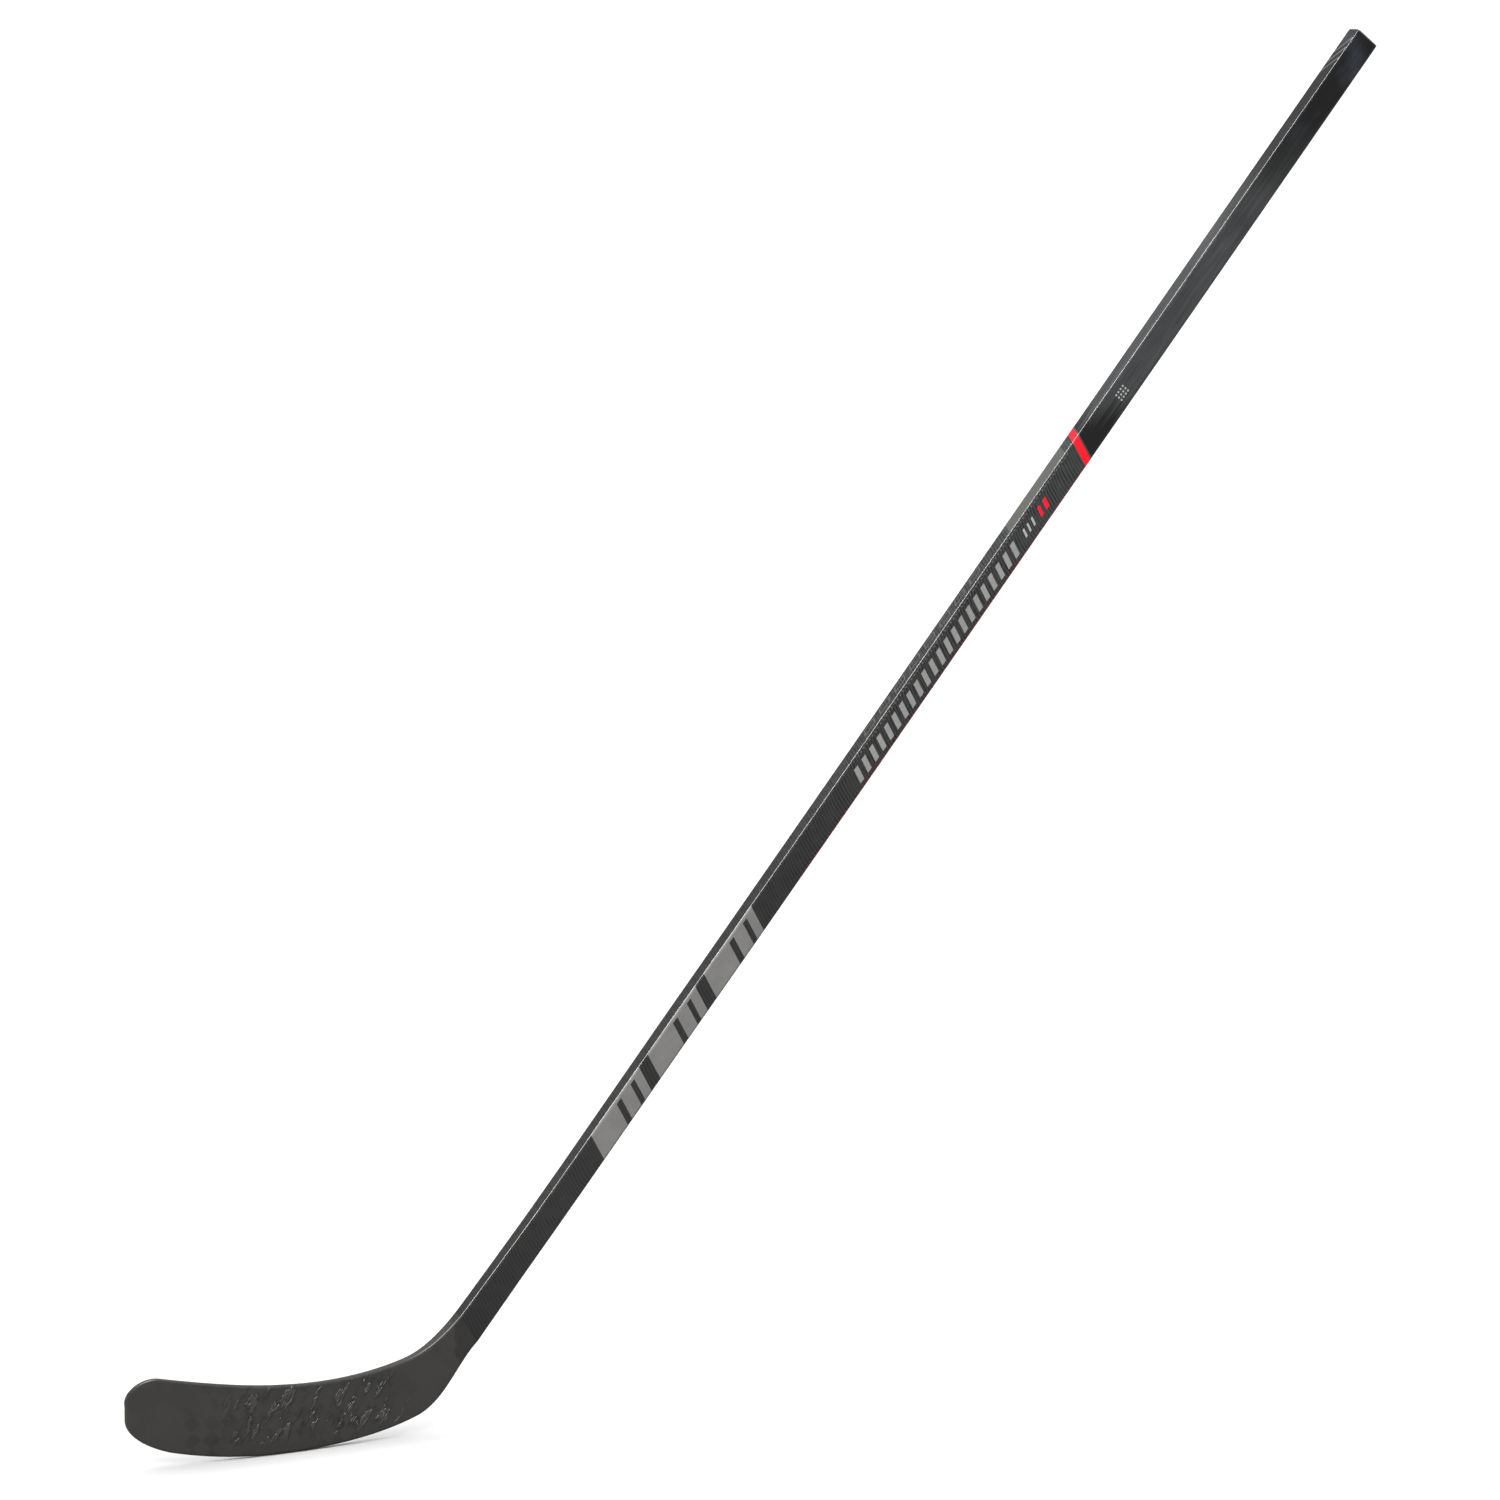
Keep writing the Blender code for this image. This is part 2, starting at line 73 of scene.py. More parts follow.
# The blade's outline from the seam to the toe, as curves: (start, handle, handle, end), in mm.
LOWER_EDGE = (
    ((186.2, 76.6), (165.7, 58.1), (153.3, 26.9), (127.3, 16.6)),
    ((127.3, 16.6), (93.7, 4.4), (50.0, 0.0), (8.0, 0.0)),
    ((8.0, 0.0), (3.0, 0.0), (-3.0, 0.0), (-8.0, 0.0)),
    ((-8.0, 0.0), (-42.0, 0.0), (-67.6, 3.1), (-95.7, 9.0)),
    ((-95.7, 9.0), (-113.5, 12.7), (-138.6, 25.2), (-137.9, 43.7)),
)
UPPER_EDGE = (
    ((170.8, 104.0), (154.9, 88.6), (136.9, 74.5), (116.4, 69.7)),
    ((116.4, 69.7), (86.3, 62.1), (52.0, 58.8), (10.0, 62.2)),
    ((10.0, 62.2), (4.0, 62.7), (-2.0, 63.2), (-8.0, 63.7)),
    ((-8.0, 63.7), (-39.5, 66.9), (-72.8, 73.4), (-108.8, 80.7)),
    ((-108.8, 80.7), (-122.8, 83.6), (-140.4, 69.9), (-137.9, 56.2)),
)
SPAN_STEPS = (22, 22, 4, 22, 26)

# Blade thickness, edge radius and skin thickness at the ends of those curves.
BLADE_THICK = (0.0156, 0.0096, 0.0072, 0.0071, 0.0058, 0.0052)
EDGE_RADIUS = (0.0027, 0.0026, 0.0024, 0.0024, 0.0024, 0.0023)
SKIN_THICK = (0.0020, 0.0012, 0.0009, 0.0009, 0.0009, 0.0009)

# The edge wrap's width, the hairline between it and the skins, and how far the finer blade stays
# inside the CAD blade at its edges and faces.
WRAP_WIDTH = 0.00262
JOIN = 0.00003
TRIM = 0.00010
THIN = 0.00004

# The curve of the blade's face towards the toe, and the lean of its top edge.
CURVE_START = 0.0291
CURVE_RUN = 0.1720
CURVE_DEPTH = 0.0354
LEAN_START = 0.0707
LEAN_RUN = 0.2136
LEAN_TOE = math.radians(9.0)
LEAN_AXIS = 0.0395
LEAN_AXIS_SLOPE = 0.06


def mix(a, b, t):
    return a + (b - a) * t


def shaft_section(station):
    for low, high in zip(SHAFT_SECTIONS, SHAFT_SECTIONS[1:]):
        if station <= high[0]:
            break
    t = max(0.0, (station - low[0]) / (high[0] - low[0]))
    return tuple(mix(p, q, t) for p, q in zip(low[1:], high[1:]))


def shaft_point(station, width, depth):
    p = SHAFT_FOOT + SHAFT_DIR * station + SHAFT_UP * width
    return Vector((p.x, SHAFT_FOOT.y + depth, p.z))


# Lengths round the section, in mm: half a wide flat, a corner, a narrow flat, the whole way round.
HALF_FLAT = 10.6
ARC = 4.2
NARROW = 13.6
ROUND = 4.0 * ARC + 4.0 * HALF_FLAT + 2.0 * NARROW
CORNER_STEPS = 8
FLAT_END = 0.5

# A station where the shaft has its full section, from which the prints' slanted ends are worked out.
FULL_SECTION = 1.0


def section_point(station, girth, lift=0.0):
    """A point on the shaft's surface. Girth runs round the section in mm, from the middle of the
    backhand face, through its upper corner, top face, forehand face and under face."""
    lower, upper, thick = shaft_section(station)
    mid = 0.5 * (lower + upper)
    hw = 0.5 * (upper - lower) - CORNER
    hd = 0.5 * thick - CORNER
    g = (girth + 0.5 * ROUND) % ROUND - 0.5 * ROUND
    side = 1.0 if g >= 0.0 else -1.0
    g = abs(g)
    reach = CORNER + lift
    if g <= HALF_FLAT:
        w, y = hw * g / HALF_FLAT, -hd - reach
    elif g <= HALF_FLAT + ARC:
        a = 0.5 * math.pi * (g - HALF_FLAT) / ARC
        w, y = hw + reach * math.sin(a), -hd - reach * math.cos(a)
    elif g <= HALF_FLAT + ARC + NARROW:
        w, y = hw + reach, hd * (2.0 * (g - HALF_FLAT - ARC) / NARROW - 1.0)
    elif g <= HALF_FLAT + 2.0 * ARC + NARROW:
        a = 0.5 * math.pi * (g - HALF_FLAT - ARC - NARROW) / ARC
        w, y = hw + reach * math.cos(a), hd + reach * math.sin(a)
    else:
        w = hw * (1.0 - (g - HALF_FLAT - 2.0 * ARC - NARROW) / HALF_FLAT)
        y = hd + reach
    return mid + side * w, y


def girth_stops(start, stop):
    """Girths between two ends, close together on the corners."""
    turn = HALF_FLAT + ARC
    far = turn + NARROW
    back = far + ARC
    quarters = (0.25, 0.5, 0.75)
    corner = [ARC * i / CORNER_STEPS for i in range(CORNER_STEPS + 1)]
    half = [0.0] + [q * HALF_FLAT for q in quarters] + [HALF_FLAT - FLAT_END]
    half += [HALF_FLAT + c for c in corner]
    half += [turn + FLAT_END] + [turn + q * NARROW for q in quarters] + [far - FLAT_END]
    half += [far + c for c in corner]
    half += [back + FLAT_END] + [back + q * HALF_FLAT for q in quarters] + [back + HALF_FLAT]
    marks = sorted(set(round(side * g, 5) for g in half for side in (1.0, -1.0)))
    close = 1e-4
    return [start] + [g for g in marks if start + close < g < stop - close] + [stop]


def surface(station, girth, lift=0.0):
    w, y = section_point(station, girth, lift)
    return shaft_point(station, w, y)


# ---------------------------------------------------------------- mesh helpers


def make_object(name, bm, smooth=True):
    bmesh.ops.recalc_face_normals(bm, faces=bm.faces)
    mesh = bpy.data.meshes.new(name)
    bm.to_mesh(mesh)
    bm.free()
    for poly in mesh.polygons:
        poly.use_smooth = smooth
    obj = bpy.data.objects.new(name, mesh)
    bpy.context.scene.collection.objects.link(obj)
    return obj


def sharpen(obj, degrees):
    """Keep edges sharper than this angle crisp, and weight the rest by face size."""
    bm = bmesh.new()
    bm.from_mesh(obj.data)
    limit = math.radians(degrees)
    for edge in bm.edges:
        if len(edge.link_faces) == 2:
            edge.smooth = edge.calc_face_angle(0.0) < limit
    bm.to_mesh(obj.data)
    bm.free()
    mod = obj.modifiers.new("weighted", "WEIGHTED_NORMAL")
    mod.keep_sharp = True


def bridge(bm, a, b):
    n = len(a)
    for i in range(n):
        j = (i + 1) % n
        bm.faces.new((a[i], a[j], b[j], b[i]))


def loft(name, rings, hollow=False):
    bm = bmesh.new()
    verts = [[bm.verts.new(p) for p in ring] for ring in rings]
    for a, b in zip(verts, verts[1:]):
        bridge(bm, a, b)
    if hollow:
        bridge(bm, verts[-1], verts[0])
    else:
        bm.faces.new(verts[0])
        bm.faces.new(verts[-1])
    return make_object(name, bm)


def add_patch(bm, girths, low_of, high_of, steps, lift, thick):
    """A thin closed film on the shaft between two slanted ends."""

    def layer(height):
        rows = []
        for g in girths:
            w, y = section_point(FULL_SECTION, g)
            a, b = low_of(w, y), high_of(w, y)
            stations = [mix(a, b, i / steps) for i in range(steps + 1)]
            rows.append([bm.verts.new(surface(station, g, height)) for station in stations])
        return rows

    top, base = layer(lift + thick), layer(lift)
    for k in range(len(girths) - 1):
        for i in range(steps):
            bm.faces.new((top[k][i], top[k + 1][i], top[k + 1][i + 1], top[k][i + 1]))
            bm.faces.new((base[k][i], base[k][i + 1], base[k + 1][i + 1], base[k + 1][i]))
    for k in range(len(girths) - 1):
        bm.faces.new((top[k][0], base[k][0], base[k + 1][0], top[k + 1][0]))
        bm.faces.new((top[k][-1], top[k + 1][-1], base[k + 1][-1], base[k][-1]))
    for i in range(steps):
        bm.faces.new((top[0][i], top[0][i + 1], base[0][i + 1], base[0][i]))
        bm.faces.new((top[-1][i], base[-1][i], base[-1][i + 1], top[-1][i + 1]))


# ---------------------------------------------------------------- materials


class Graph:
    """Short calls for building one material's nodes."""

    def __init__(self, name):
        self.mat = bpy.data.materials.new(name)
        self.mat.use_nodes = True
        self.tree = self.mat.node_tree
        self.shader = self.tree.nodes["Principled BSDF"]
        self.place = self.tree.nodes.new("ShaderNodeTexCoord").outputs["Object"]

    def put(self, value, socket):
        if isinstance(value, bpy.types.NodeSocket):
            self.tree.links.new(value, socket)
        else:
            socket.default_value = value

    def math(self, op, a, b=0.0, c=0.0):
        node = self.tree.nodes.new("ShaderNodeMath")
        node.operation = op
        for value, socket in zip((a, b, c), node.inputs):
            self.put(value, socket)
        return node.outputs[0]

    def dot(self, vector, shift=0.0):
        node = self.tree.nodes.new("ShaderNodeVectorMath")
        node.operation = "DOT_PRODUCT"
        self.put(self.place, node.inputs[0])
        node.inputs[1].default_value = vector
        return self.math("SUBTRACT", node.outputs["Value"], shift)

    def combine(self, x, y, z):
        node = self.tree.nodes.new("ShaderNodeCombineXYZ")
        for value, socket in zip((x, y, z), node.inputs):
            self.put(value, socket)
        return node.outputs[0]

    def noise(self, vector, scale, detail=2.0, rough=0.5):
        node = self.tree.nodes.new("ShaderNodeTexNoise")
        self.put(vector, node.inputs["Vector"])
        node.inputs["Scale"].default_value = scale
        node.inputs["Detail"].default_value = detail
        node.inputs["Roughness"].default_value = rough
        return node.outputs["Fac"]

    def step(self, value, low, high, a=0.0, b=1.0):
        node = self.tree.nodes.new("ShaderNodeMapRange")
        node.interpolation_type = "SMOOTHSTEP"
        self.put(value, node.inputs["Value"])
        for key, v in (("From Min", low), ("From Max", high), ("To Min", a), ("To Max", b)):
            self.put(v, node.inputs[key])
        return node.outputs["Result"]

    def colour(self, fac, a, b):
        node = self.tree.nodes.new("ShaderNodeMix")
        node.data_type = "RGBA"
        self.put(fac, node.inputs[0])
        for value, socket in ((a, node.inputs[6]), (b, node.inputs[7])):
            self.put((*value, 1.0) if isinstance(value, tuple) else value, socket)
        return node.outputs[2]

    def ramp(self, fac, stops):
        node = self.tree.nodes.new("ShaderNodeValToRGB")
        self.put(fac, node.inputs[0])
        elements = node.color_ramp.elements
        while len(elements) < len(stops):
            elements.new(0.5)
        for element, (pos, col) in zip(elements, stops):
            element.position = pos
            element.color = (*col, 1.0)
        return node.outputs[0]

    def bump(self, height, strength, distance):
        node = self.tree.nodes.new("ShaderNodeBump")
        node.inputs["Strength"].default_value = strength
        node.inputs["Distance"].default_value = distance
        self.put(height, node.inputs["Height"])
        self.tree.links.new(node.outputs["Normal"], self.shader.inputs["Normal"])

    def set(self, **values):
        for key, value in values.items():
            self.put(value, self.shader.inputs[key.replace("_", " ")])

    def window(self, value, low, high, soft=0.0004):
        """One between two values, nought outside them."""
        rise = self.step(value, low - soft, low + soft)
        return self.times(rise, self.step(value, high - soft, high + soft, 1.0, 0.0))

    def shaded(self, base, level):
        """A colour made lighter or darker by a plain number."""
        node = self.tree.nodes.new("ShaderNodeVectorMath")
        node.operation = "MULTIPLY"
        self.put(base, node.inputs[0])
        self.put(self.combine(level, level, level), node.inputs[1])
        return node.outputs[0]

    def times(self, *values):
        product = values[0]
        for value in values[1:]:
            product = self.math("MULTIPLY", product, value)
        return product

    def shaft_axes(self):
        """Distance along the shaft, across its wide face, and through its thickness."""
        along = self.dot(SHAFT_DIR, SHAFT_FOOT.dot(SHAFT_DIR))
        across = self.dot(SHAFT_UP, SHAFT_FOOT.dot(SHAFT_UP))
        depth = self.dot((0.0, 1.0, 0.0), SHAFT_FOOT.y)
        return along, across, depth


# The specular level shared by the carbon and the inks.
SHINE = 0.20


def grip_tone(g, along, across, depth, place):
    """Handle: near-black, a greyer stretch of fine tow, then near-black with bluish clouds of painted
    reflection.
    """
    fibre = 800.0
    grain = g.combine(g.times(along, 22.0), g.times(across, fibre), g.times(depth, fibre))
    tow = g.noise(grain, 1.0, 3.0)
    weave = 4200.0
    mesh = g.times(
        g.math("SINE", g.times(g.math("ADD", along, across), weave)),
        g.math("SINE", g.times(g.math("SUBTRACT", along, across), weave)),
    )
    slanted = g.math("MULTIPLY_ADD", across, 1.6, along)
    ragged = g.math("MULTIPLY_ADD", g.noise(grain, 0.5, 2.0), 0.09, slanted)
    base = g.ramp(
        g.math("MULTIPLY_ADD", ragged, 2.0, -2.29),
        [
            (0.00, (0.0005, 0.0005, 0.0005)),
            (0.06, (0.0005, 0.0005, 0.0005)),
            (0.13, (0.0175, 0.0183, 0.0188)),
            (0.40, (0.0195, 0.0203, 0.0210)),
            (0.56, (0.0190, 0.0196, 0.0202)),
            (0.70, (0.0050, 0.0052, 0.0054)),
            (0.78, (0.0005, 0.0005, 0.0006)),
            (1.00, (0.0010, 0.0011, 0.0014)),
        ],
    )
    cloud = g.noise(place, 17.0, 3.0)
    # Painted reflection: soft bluish clouds lighten the near-black carbon towards the butt.
    painted_reflection = g.times(g.step(cloud, 0.50, 0.70), g.step(along, 1.44, 1.50), 0.75)
    base = g.colour(painted_reflection, base, (0.0110, 0.0130, 0.0170))
    level = g.times(g.step(tow, 0.30, 0.72, 0.68, 1.18), g.step(cloud, 0.3, 0.7, 0.85, 1.15))
    return g.shaded(base, g.math("MULTIPLY_ADD", mesh, 0.10, level)), mesh


def rib_tone(g, along, across, slant, place):
    """Below the band: charcoal crossed by fine dark slanted ribs, patchy and a little curved."""
    pitch = 0.0036
    bow = g.math("POWER", g.math("ABSOLUTE", g.times(across, 75.0)), 2.0)
    wave = g.math("MULTIPLY_ADD", g.noise(place, 26.0, 2.0), 0.006, g.times(bow, -0.0014))
    rib = g.math("SINE", g.times(g.math("ADD", slant, wave), 2.0 * math.pi / pitch))
    fine = g.math("SINE", g.times(g.math("SUBTRACT", along, g.times(across, 4.5)), 620.0))
    groove = g.step(rib, -0.1, 0.75)
    fade = g.step(along, 0.40, 0.80, 0.62, 1.0)
    patchy = g.step(g.noise(place, 85.0, 3.0), 0.36, 0.62, 0.35, 1.0)
    level = g.math("MULTIPLY_ADD", g.times(groove, fade, patchy), -0.86, 1.0)
    level = g.times(level, g.step(fine, -0.6, 0.9, 1.06, 0.84))
    base = g.ramp(
        along,
        [
            (0.10, (0.0068, 0.0068, 0.0065)),
            (0.26, (0.0100, 0.0100, 0.0097)),
            (0.62, (0.0088, 0.0088, 0.0086)),
            (0.74, (0.0130, 0.0130, 0.0128)),
            (0.98, (0.0150, 0.0153, 0.0153)),
            (1.00, (0.0175, 0.0181, 0.0184)),
        ],
    )
    return g.shaded(base, level), groove


def ridge_dashes(g, along, across, depth):
    """Short light dashes beside the upper backhand corner, below the band."""
    pitch = 0.0046
    backhand = g.step(depth, -0.0085, -0.0080, 1.0, 0.0)
    beat = g.step(g.math("SINE", g.times(along, 2.0 * math.pi / pitch)), 0.1, 0.4)
    line = g.times(g.window(across, 0.0098, 0.0106, 0.0002), backhand)
    return g.times(line, beat, g.window(along, 0.745, 1.093, 0.004))


def dot_grid(g, along, across, depth):
    """A small block of round dots on the handle's backhand face."""
    pitch = 0.0036
    u = g.math("SUBTRACT", g.math("FRACT", g.times(along, 1.0 / pitch)), 0.5)
    v = g.math("SUBTRACT", g.math("FRACT", g.math("MULTIPLY_ADD", across, 1.0 / pitch, 0.5)), 0.5)
    radius = g.math("SQRT", g.math("MULTIPLY_ADD", u, u, g.times(v, v)))
    dots = g.step(radius, 0.24, 0.32, 1.0, 0.0)
    field = g.times(g.window(along, 1.1628, 1.1772, 0.0001), g.window(across, -0.0054, 0.0054, 0.0001))
    return g.times(dots, field, g.step(depth, -0.0090, -0.0085, 1.0, 0.0))


def butt_smears(g, along, across, depth):
    """Soft light slanted smears on the top face near the butt."""
    pitch = 0.0115
    lean = g.math("MULTIPLY_ADD", depth, 1.1, along)
    beat = g.step(g.math("SINE", g.times(lean, 2.0 * math.pi / pitch)), 0.35, 0.85)
    field = g.times(g.window(lean, 1.5420, 1.5720, 0.003), g.step(across, 0.0125, 0.0129))
    return g.times(beat, field)


def shaft_material():
    g = Graph("shaft_carbon")
    along, across, depth = g.shaft_axes()
    slope = g.math("MULTIPLY_ADD", across, PRINT_SLOPE, g.times(depth, BAND_SLOPE[1]))
    slant = g.math("SUBTRACT", along, slope)
    place = g.combine(along, across, depth)
    upper, mesh = grip_tone(g, along, across, depth, place)
    lower, groove = rib_tone(g, along, across, slant, place)
    is_grip = g.step(slant, 1.1095, 1.1105)
    tone = g.colour(is_grip, lower, upper)
    dashes = g.times(ridge_dashes(g, along, across, depth), 0.75)
    smears = g.times(butt_smears(g, along, across, depth), 0.45)
    tone = g.colour(dashes, tone, (0.075, 0.075, 0.072))
    tone = g.colour(dot_grid(g, along, across, depth), tone, (0.17, 0.17, 0.165))
    tone = g.colour(smears, tone, (0.085, 0.085, 0.083))
    g.set(
        Base_Color=tone,
        Roughness=g.math("MULTIPLY_ADD", g.noise(place, 40.0, 2.0), 0.05, 0.155),
        Specular_IOR_Level=SHINE,
    )
    grooves = g.times(groove, g.step(is_grip, 0.0, 1.0, -0.5, 0.0))
    g.bump(g.math("MULTIPLY_ADD", mesh, 0.10, grooves), 0.18, 0.00005)
    return g.mat


def blade_checks(g, x, z, place):
    """Faint, patchy diamond checks over the middle of the blade."""
    size = 0.0165
    wobble = g.times(g.noise(place, 60.0, 2.0), 0.010)
    rising = g.times(g.math("ADD", g.math("ADD", x, z), wobble), 1.0 / size)
    falling = g.times(g.math("SUBTRACT", g.math("SUBTRACT", x, z), wobble), 1.0 / size)
    node = g.tree.nodes.new("ShaderNodeTexChecker")
    node.inputs["Scale"].default_value = 1.0
    g.put(g.combine(rising, falling, 0.5), node.inputs["Vector"])
    middle = g.times(g.step(x, -0.100, -0.080), g.step(x, 0.060, 0.120, 1.0, 0.0))
    sparse = g.step(g.noise(place, 30.0, 1.0), 0.42, 0.56)
    return g.times(node.outputs["Fac"], g.times(middle, sparse))


def blade_strokes(g, x, z):
    """Raised brush-like strokes across the middle of the face, and the shade beside them."""
    lean = g.combine(g.times(g.math("MULTIPLY_ADD", z, -0.62, x), 85.0), g.times(z, 34.0), 0.0)
    field = g.noise(lean, 1.0, 3.0, 0.62)
    stroke = g.times(g.step(field, 0.55, 0.59), g.step(field, 0.62, 0.68, 1.0, 0.0))
    shade = g.times(g.step(field, 0.50, 0.54), g.step(field, 0.54, 0.57, 1.0, 0.0))
    zone = g.times(g.step(x, -0.065, -0.035), g.step(x, 0.090, 0.130, 1.0, 0.0))
    zone = g.times(zone, g.times(g.step(z, 0.006, 0.018), g.step(z, 0.056, 0.066, 1.0, 0.0)))
    return g.times(stroke, zone), g.times(shade, zone)


def neck_shade(g, place):
    """The shaft's darker tone runs a little way into the blade's neck, with a ragged front."""
    along, across, _ = g.shaft_axes()
    slanted = g.math("MULTIPLY_ADD", across, -1.1, along)
    front = g.math("MULTIPLY_ADD", g.noise(place, 50.0, 2.0), 0.030, slanted)
    return g.step(front, 0.104, 0.107, 1.0, 0.62)


def blade_material(name, rim_highlight=1.0):
    g = Graph(name)
    x = g.dot((1.0, 0.0, 0.0))
    z = g.dot((0.0, 0.0, 1.0))
    place = g.combine(x, 0.0, z)
    check = blade_checks(g, x, z, place)
    stroke, shade = blade_strokes(g, x, z)
    grain = g.noise(place, 900.0, 3.0, 0.6)
    speck = g.step(g.noise(place, 420.0, 1.0), 0.76, 0.80)
    blotch = g.step(g.noise(place, 26.0, 3.0), 0.44, 0.52, 0.94, 1.06)
    level = g.times(blotch, g.step(grain, 0.2, 0.8, 0.90, 1.10))
    for mark, weight in ((check, -0.26), (stroke, 0.50), (shade, -0.42), (speck, 0.45)):
        level = g.math("MULTIPLY_ADD", mark, weight, level)
    # Painted highlight: a factor above 1.0 lightens the whole colour. It is used for the edge wrap's
    # lighter rim.
    level = g.times(level, neck_shade(g, place), rim_highlight)
    g.set(
        Base_Color=g.shaded((0.0128, 0.0124, 0.0115), level),
        Roughness=g.math("MULTIPLY_ADD", grain, 0.14, g.math("MULTIPLY_ADD", check, 0.06, 0.28)),
        Specular_IOR_Level=SHINE,
    )
    g.bump(g.math("MULTIPLY_ADD", stroke, 4.0, g.times(grain, 0.3)), 0.8, 0.00020)
    return g.mat


def print_material(name, base, rough, speck):
    """Printed film: ink with fine speckle and soft cloudiness."""
    g = Graph(name)
    fine = g.noise(g.place, 1400.0, 2.0, 0.7)
    cloud = g.noise(g.place, 60.0, 3.0)
    speckle = g.step(fine, 0.3, 0.7, 1.0 - speck, 1.0 + speck)
    g.set(
        Base_Color=g.shaded(base, g.times(speckle, g.step(cloud, 0.3, 0.7, 0.94, 1.05))),
        Roughness=g.math("MULTIPLY_ADD", cloud, 0.12, rough),
        Specular_IOR_Level=SHINE,
    )
    g.bump(fine, 0.10, 0.00003)
    return g.mat


def moulded_material(name, base, rough, scale, specular=0.4):
    """Moulded plastic, resin or foam: fine pores and soft tone changes."""
    g = Graph(name)
    fine = g.noise(g.place, scale, 3.0, 0.6)
    soft = g.noise(g.place, 40.0, 2.0)
    level = g.times(g.step(fine, 0.25, 0.75, 0.82, 1.15), g.step(soft, 0.3, 0.7, 0.9, 1.08))
    g.set(
        Base_Color=g.shaded(base, level),
        Roughness=g.math("MULTIPLY_ADD", fine, 0.15, rough),
        Specular_IOR_Level=specular,
    )
    g.bump(fine, 0.3, 0.0001)
    return g.mat


# ---------------------------------------------------------------- shaft and plug

# Rings of the shaft as (first station, spacing, how many), and how far parts stop from the seam.
SHAFT_RINGS = ((0.128, 0.006, 30), (0.32, 0.03, 42))
SEAM_GAP = 0.00010

# Small bevels, as (inset, distance along): at the seam, measured from it, and at the butt end.
SEAM_BEVEL = (0.00012, 0.00025)
BUTT_BEVEL = (0.0002, 0.0004)

# The plug: its spigot, and a flange with a rounded rim and a low dome.
SPIGOT_LENGTH = 0.030
SPIGOT_CLEARANCE = 0.0002
SPIGOT_WALL = 0.0022
HOLLOW_STOP = 0.002
FLANGE_INSET = 0.0003
RIM_ROUND = 0.0007
RIM_STEPS = 6
DOME_RISE = 0.0002
DOME_INSETS = (0.0022, 0.0045)


def ring_at(station):
    return [surface(station, g) for g in girth_stops(-0.5 * ROUND, 0.5 * ROUND)[:-1]]


def inner_ring(station, inset):
    """The section shrunk by an inset deeper than its corner."""
    lower, upper, thick = shaft_section(station)
    mid = 0.5 * (lower + upper)
    sx = (0.5 * (upper - lower) - inset) / (0.5 * (upper - lower))
    sy = (0.5 * thick - inset) / (0.5 * thick)
    ring = []
    for g in girth_stops(-0.5 * ROUND, 0.5 * ROUND)[:-1]:
        w, y = section_point(station, g)
        ring.append(shaft_point(station, mid + (w - mid) * sx, y * sy))
    return ring


def on_seam(ring, lift):
    """The ring slid along the shaft onto the slanted seam, or a little beyond it."""
    seated = []
    for p in ring:
        arm = p - SHAFT_FOOT
        slide = SEAM_MID + SEAM_SLOPE * arm.dot(SHAFT_UP) + lift - arm.dot(SHAFT_DIR)
        seated.append(p + SHAFT_DIR * slide)
    return seated


def build_shaft():
    stations = [first + spacing * i for first, spacing, count in SHAFT_RINGS for i in range(count)]
    stations.append(TUBE_END - BUTT_BEVEL[1])
    outer = [on_seam(inner_ring(SEAM_MID, SEAM_BEVEL[0]), SEAM_GAP)]
    outer += [on_seam(ring_at(SEAM_MID), SEAM_BEVEL[1])]
    outer += [ring_at(s) for s in stations] + [inner_ring(TUBE_END, BUTT_BEVEL[0])]
    inner = [on_seam(inner_ring(SEAM_MID, SHAFT_WALL), SEAM_GAP)]
    inner += [inner_ring(s, SHAFT_WALL) for s in stations] + [inner_ring(TUBE_END, SHAFT_WALL)]
    shaft = loft("shaft", outer + inner[::-1], hollow=True)
    sharpen(shaft, 35.0)
    shaft.data.materials.append(shaft_material())
    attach(shaft, "root")
    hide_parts("shaft_tube")


def build_plug():
    base = SHAFT_END - FLANGE_THICK
    mouth = TUBE_END - SPIGOT_LENGTH
    spigot = SHAFT_WALL + SPIGOT_CLEARANCE
    hollow = spigot + SPIGOT_WALL
    rings = [inner_ring(base - HOLLOW_STOP, hollow), inner_ring(mouth, hollow)]
    rings += [inner_ring(mouth, spigot), inner_ring(base, spigot), inner_ring(base, FLANGE_INSET)]
    shoulder = SHAFT_END - DOME_RISE - RIM_ROUND
    for i in range(RIM_STEPS + 1):
        a = 0.5 * math.pi * i / RIM_STEPS
        rings.append(inner_ring(shoulder + RIM_ROUND * math.sin(a), RIM_ROUND * (1.0 - math.cos(a))))
    rings += [inner_ring(SHAFT_END - 0.5 * DOME_RISE, DOME_INSETS[0])]
    rings += [inner_ring(SHAFT_END, DOME_INSETS[1])]
    plug = loft("end_plug", rings)
    sharpen(plug, 40.0)
    plug.data.materials.append(moulded_material("plug_plastic", (0.022, 0.0222, 0.0228), 0.30, 700.0))
    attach(plug, "root")
    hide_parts("butt_plug")


# ---------------------------------------------------------------- blade

SKIN_STEPS = 22
WRAP_STEPS = 7


def curve_point(span, t):
    """A point on one curve of the outline, in metres."""
    u = 1.0 - t
    weights = (u * u * u, 3.0 * u * u * t, 3.0 * u * t * t, t * t * t)
    return Vector(tuple(MM * sum(w * p[k] for w, p in zip(weights, span)) for k in (0, 1)))


def curve_heading(span, t):
    u = 1.0 - t
    weights = (3.0 * u * u, 6.0 * u * t, 3.0 * t * t)
    legs = [(q[0] - p[0], q[1] - p[1]) for p, q in zip(span, span[1:])]
    return Vector(tuple(sum(w * leg[k] for w, leg in zip(weights, legs)) for k in (0, 1))).normalized()


def span_at(reach):
    index = min(int(reach), len(LOWER_EDGE) - 1)
    return index, reach - index


